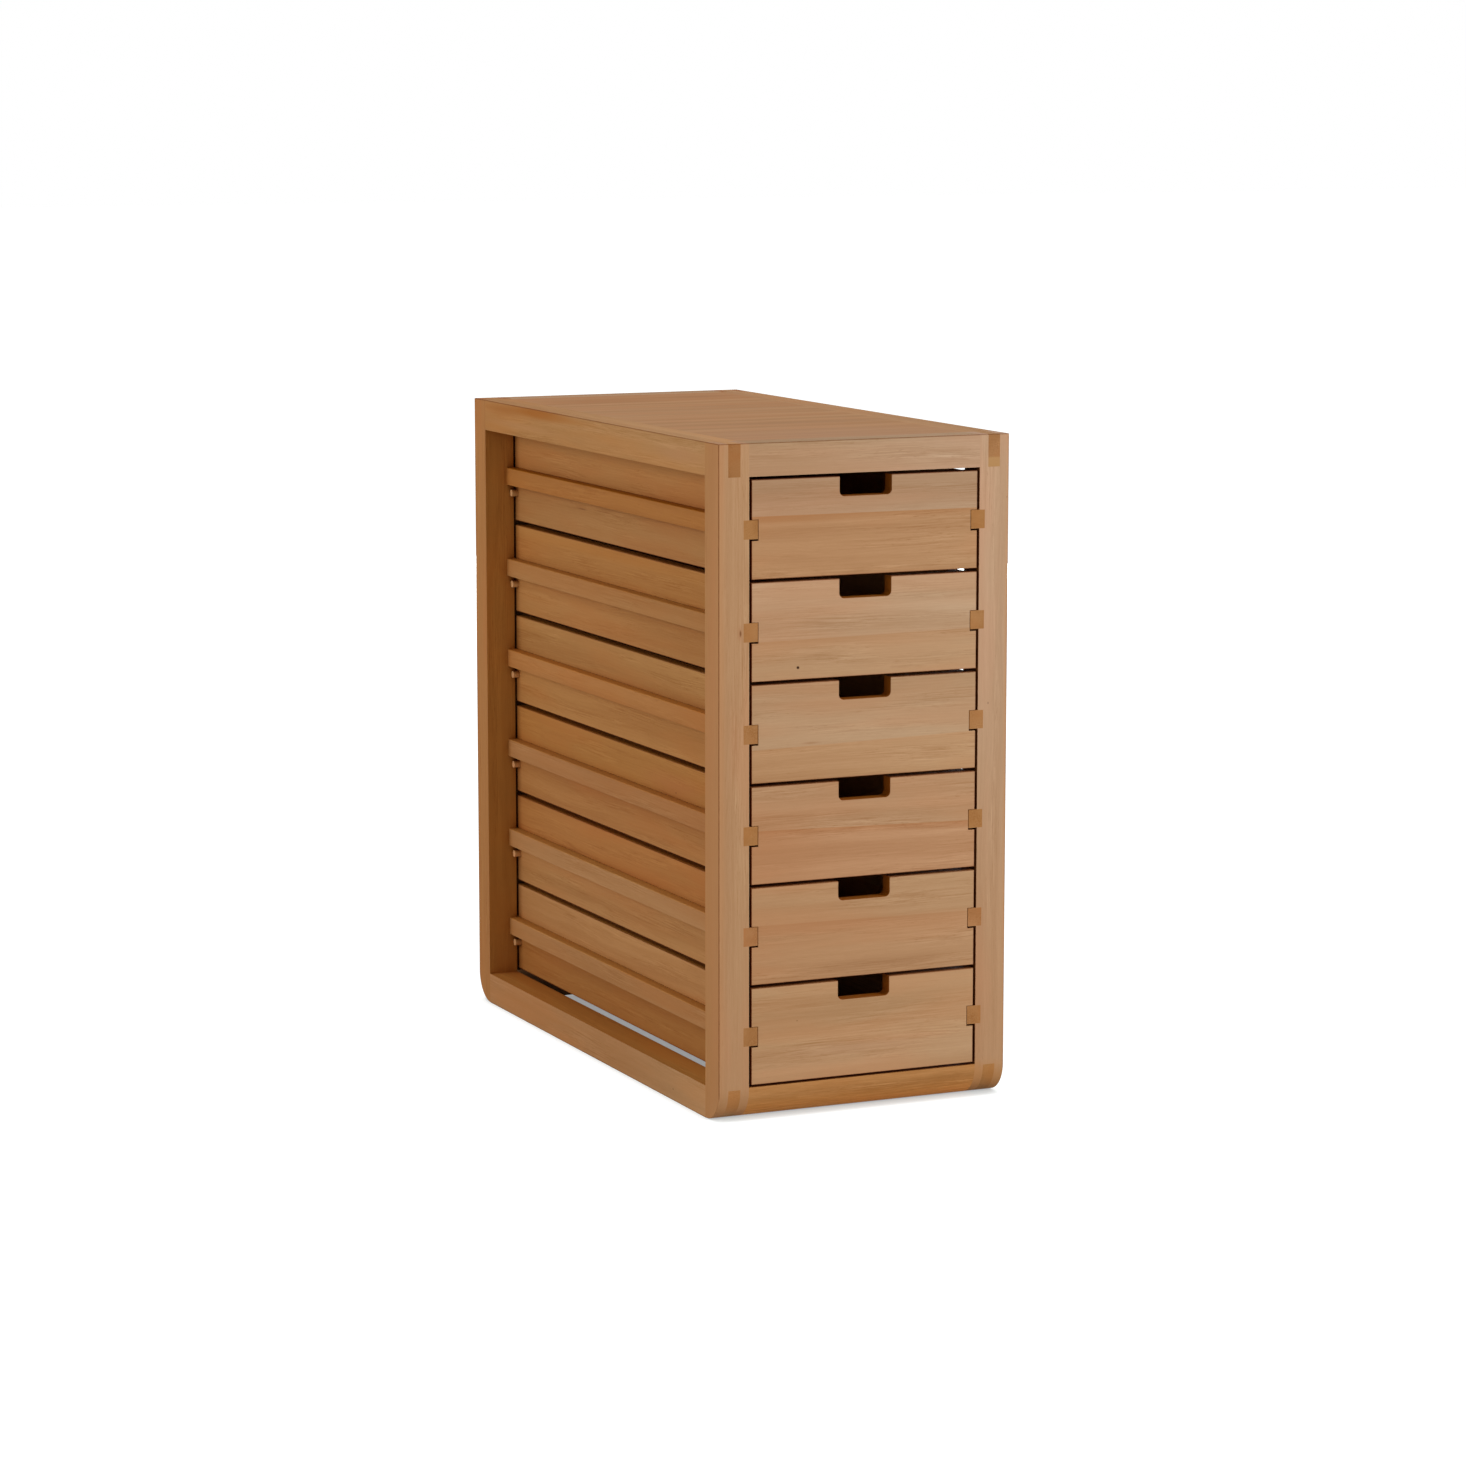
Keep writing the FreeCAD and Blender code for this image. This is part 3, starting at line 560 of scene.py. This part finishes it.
# Each front is glued up from two boards: height and slope of the joint, tints above and below it,
# and how dark the grain is just under it.
SEAMS = {
    1: (644.6, -0.003, (0.93, 0.99, 1.12), (0.96, 0.90, 0.84), 0.7),
    2: (514.0, 0.010, (1.04, 1.13, 1.28), (1.0, 1.04, 1.08), 0.3),
    3: (401.0, 0.020, (0.99, 1.06, 1.15), (1.03, 1.02, 1.0), 0.2),
    4: (309.4, -0.023, (0.99, 0.98, 1.0), (1.03, 0.94, 0.92), 0.8),
    5: (209.0, -0.012, (0.98, 0.97, 0.95), (0.94, 0.88, 0.83), 0.2),
    6: (77.0, 0.004, (1.02, 1.04, 1.03), (1.06, 1.08, 1.10), 0.0),
}
FRONT_MARKS = {
    1: ((on_front(-90, 640), (120, 5, 5), (170, 118, 74), 0.5, 0.0),),
    2: ((on_front(-78.6, 483.7), (2.2, 5, 2.0), BLACK_KNOT, 1.0, 0.45),),
    3: ((on_front(-63.2, 402.6), (16, 4, 2.2), (160, 112, 74), 0.5, 0.0),),
    4: ((on_front(-120, 290), (110, 5, 60), (178, 124, 82), 0.45, 0.0),),
    5: ((on_front(20, 158), (150, 5, 14), (160, 116, 78), 0.5, 0.0),),
    6: ((on_front(-78.7, 104.3), (1.2, 4, 0.9), KNOT, 0.5, 0.3),
        (on_front(-10, 68.5), (110, 5, 9), (194, 152, 116), 0.5, 0.0)),
}
SIDE_MARKS = {
    1: ((on_drawer_side(110.6, 610.9), (4, 21, 1.4), (116, 72, 38), 0.75, 0.0),),
    2: ((on_drawer_side(60, 567), (6, 420, 11), (172, 112, 52), 0.6, 0.0),),
    4: ((on_drawer_side(-150, 330), (6, 120, 22), (172, 104, 58), 0.5, 0.0),
        (on_drawer_side(-153.8, 323.6), (4, 2.6, 1.1), KNOT, 0.7, 0.2)),
}
# Tints of each drawer's sides, above and below its runner
SIDE_TINTS = {
    1: ((1.00, 0.97, 1.02), (0.89, 0.89, 1.0)),
    2: ((1.02, 1.0, 0.99), (0.97, 0.96, 1.03)),
    3: ((0.97, 1.00, 1.09), (1.00, 0.99, 1.03)),
    4: ((0.96, 0.91, 0.80), (0.98, 0.93, 0.98)),
    5: ((0.95, 0.84, 0.78), (1.0, 1.03, 1.22)),
    6: ((1.08, 1.13, 1.42), (0.88, 0.80, 0.70)),
}
# Tints of each drawer's runners, and of their ends
RUNNER_TINTS = {
    1: ((0.91, 0.76, 0.54), (1.06, 1.26, 1.8)),
    2: ((0.95, 0.94, 0.95), (1.04, 1.08, 1.18)),
    3: ((0.98, 0.87, 0.76), (1.0, 1.12, 1.38)),
    4: ((0.93, 0.89, 0.95), (1.07, 1.12, 1.08)),
    5: ((1.0, 1.03, 1.2), (1.04, 0.98, 0.98)),
    6: ((0.98, 0.98, 1.08), (1.05, 1.06, 1.06)),
}
# Painted light and shade on the runners' top faces: the top runner's darker, under the top rail, the
# others' lighter and warmer
TOP_RUNNER_TOP_SHADE = (0.92, 0.80, 0.13)
RUNNER_TOP_LIGHT = (1.1, 1.04, 0.7)
# painted light on the top edges of the drawers' sides, lighter and yellower
DRAWER_TOP_EDGE_LIGHT = ((UP, (1.2, 1.2, 0.7)),)
# painted light on the pale pegs, lightening them where they sit in shade under the runners
PEG_LIGHT_TINT = (1.5, 1.45, 1.08)


def gap_shade_lines(name):
    """Painted shade along the edges of a drawer's board, for the gaps round it."""
    low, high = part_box(name)
    return millimetres(low), millimetres(high), GAP_SHADE_TINT, 1.1, 1.0


def dress_runners(number):
    tint, end = RUNNER_TINTS[number]
    upper = TOP_RUNNER_TOP_SHADE if number == 1 else RUNNER_TOP_LIGHT
    dress(f"runners_{number}", "runner", "y", 20 + number, tint=tint, end=end,
          facing=((UP, upper),), recess=RUNNER_RECESS_SHADE_TINT)


def dress_front(number):
    name = f"drawer_{number}_front"
    dress(name, "front", "x", 30 + number, seam=SEAMS[number], notched=True, end=FRONT_END_GRAIN_SHADE_TINT,
          lines=gap_shade_lines(name), marks=FRONT_MARKS[number])


def dress_sides(number):
    low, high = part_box(f"runners_{number}")
    level = MM * (low[Z] + high[Z]) / 2
    above, below = SIDE_TINTS[number]
    boards = (
        ("left", 40, above, below, SIDE_MARKS.get(number, ())),
        ("right", 50, below, above, ()),
    )
    for side, seed, upper, lower, marks in boards:
        name = f"drawer_{number}_{side}_side"
        dress(name, "side", "y", seed + number, seam=(level, 0.0, upper, lower, 0.0),
              facing=DRAWER_TOP_EDGE_LIGHT, lines=gap_shade_lines(name), marks=marks)


for number in DRAWERS:
    dress_runners(number)
    dress_front(number)
    dress_sides(number)
    dress(f"drawer_{number}_back", "inner", "x", 60 + number)
    dress(f"drawer_{number}_bottom", "inner", "y", 70 + number)
    dress(f"drawer_{number}_pegs", "pale", "x", 80 + number, tint=PEG_LIGHT_TINT)


# Camera

IMAGE = 1466  # pixels across the picture
FOCAL_PIXELS = 4326.95
SENSOR = 36.0  # millimetres
VIEWPOINT = (-2.00109, -4.43020, 1.10525)
YAW = math.radians(24.3715)
PITCH = math.radians(-8.7147)

camera_data = bpy.data.cameras.new("camera")
camera_data.sensor_width = SENSOR
camera_data.lens = SENSOR * FOCAL_PIXELS / IMAGE
camera_data.clip_end = 100
camera = bpy.data.objects.new("camera", camera_data)
bpy.context.scene.collection.objects.link(camera)
camera.location = VIEWPOINT
camera.rotation_euler = (math.pi / 2 + PITCH, 0, -YAW)
bpy.context.scene.camera = camera


# Floor and surroundings, in metres

FLOOR_SIZE = 60
FLOOR_COLOUR = (0.5, 0.5, 0.5)  # as it lights the cabinet
FLOOR_SEEN = (0.52, 0.59, 0.60)
GLOW_REACH, GLOW = (0.6, 3.0), (0.82, 0.90)  # the floor's own light, by the distance from the middle
TOUCH_REACH, TOUCH_DARKEST = 0.018, 0.5  # the thin shadow where the cabinet meets the floor
FOOT_LIFT = 0.027  # front or rear face to where a rounded foot stands clear of the floor
UNDER_REACH, UNDER_DARKEST = (-0.02, 0.004), 0.36  # the shadow under the cabinet
WORLD_LIGHT = 0.395
WHITE = (1, 1, 1)


def seen_directly(graph):
    """1 for what the camera sees itself, in a mirror or through glass, 0 for the light on things."""
    rays = graph.node("ShaderNodeLightPath").outputs
    seen = graph.numbers("MAXIMUM", rays["Is Camera Ray"], rays["Is Glossy Ray"])
    return graph.numbers("MAXIMUM", seen, rays["Is Transmission Ray"])


def floor_glow(graph, seen):
    """The light that makes the floor pale to the camera, weaker near and under the cabinet."""
    place = graph.node("ShaderNodeTexCoord").outputs["Object"]
    away = graph.vectors("LENGTH", place)
    glow = graph.numbers("MULTIPLY", seen, graph.span(away, *GLOW_REACH, *GLOW))
    settings = {"samples": 8}
    touch = graph.node("ShaderNodeAmbientOcclusion", settings, Distance=TOUCH_REACH).outputs["AO"]
    glow = graph.numbers("MULTIPLY", glow, graph.span(touch, 0.2, 0.95, TOUCH_DARKEST, 1.0))
    parts = graph.parts(place)
    beside = graph.numbers("SUBTRACT", graph.numbers("ABSOLUTE", parts[X]), cad_high[X])
    before = graph.numbers("SUBTRACT", graph.numbers("ABSOLUTE", parts[Y]), cad_high[Y] - FOOT_LIFT)
    under = graph.numbers("MAXIMUM", beside, before)
    return graph.numbers("MULTIPLY", glow, graph.span(under, *UNDER_REACH, UNDER_DARKEST, 1.0))


def floor_paint():
    material = bpy.data.materials.new("floor")
    material.use_nodes = True
    graph = Graph(material.node_tree)
    graph.tree.nodes.remove(graph.tree.nodes["Principled BSDF"])
    seen = seen_directly(graph)
    shade = graph.mix(seen, opaque(FLOOR_COLOUR), opaque(FLOOR_SEEN))
    paint = graph.node("ShaderNodeBsdfDiffuse", Color=shade).outputs[0]
    glow = floor_glow(graph, seen)
    glow = graph.node("ShaderNodeEmission", Color=opaque(WHITE), Strength=glow).outputs[0]
    both = graph.node("ShaderNodeAddShader")
    graph.feed(both.inputs[0], paint)
    graph.feed(both.inputs[1], glow)
    graph.feed(graph.tree.nodes["Material Output"].inputs["Surface"], both.outputs[0])
    return material


bpy.ops.mesh.primitive_plane_add(size=FLOOR_SIZE)
floor = bpy.context.object
floor.name = "floor"
floor.data.materials.append(floor_paint())

world = bpy.data.worlds.new("world")
bpy.context.scene.world = world
world.use_nodes = True
graph = Graph(world.node_tree)
background = world.node_tree.nodes["Background"].inputs
graph.feed(background["Color"], opaque(WHITE))
graph.feed(background["Strength"], graph.span(seen_directly(graph), 0.0, 1.0, WORLD_LIGHT, 1.0))


# Lamps: place, width, height, and the radiance that a white card close in front would be lit to

AIM = (0, 0, 0.36)
LAMPS = {
    "key": ((1.9, -3.9, 1.9), 2.4, 2.4, 6.6),
    "left": ((-4.3, 0.5, 1.5), 2.4, 2.4, 4.6),
    "overhead": ((0.2, 0.4, 4.0), 2.6, 2.6, 0.75),
    "back": ((2.6, 4.2, 0.36), 4.6, 0.66, 8.6),
}

for name, (place, width, height, radiance) in LAMPS.items():
    data = bpy.data.lights.new(name, "AREA")
    data.shape = "RECTANGLE"
    data.size = width
    data.size_y = height
    data.energy = radiance * math.pi * width * height
    lamp = bpy.data.objects.new(name, data)
    bpy.context.scene.collection.objects.link(lamp)
    lamp.location = place
    lamp.rotation_euler = (Vector(AIM) - Vector(place)).to_track_quat("-Z", "Y").to_euler()

bpy.context.scene.view_settings.view_transform = "Standard"
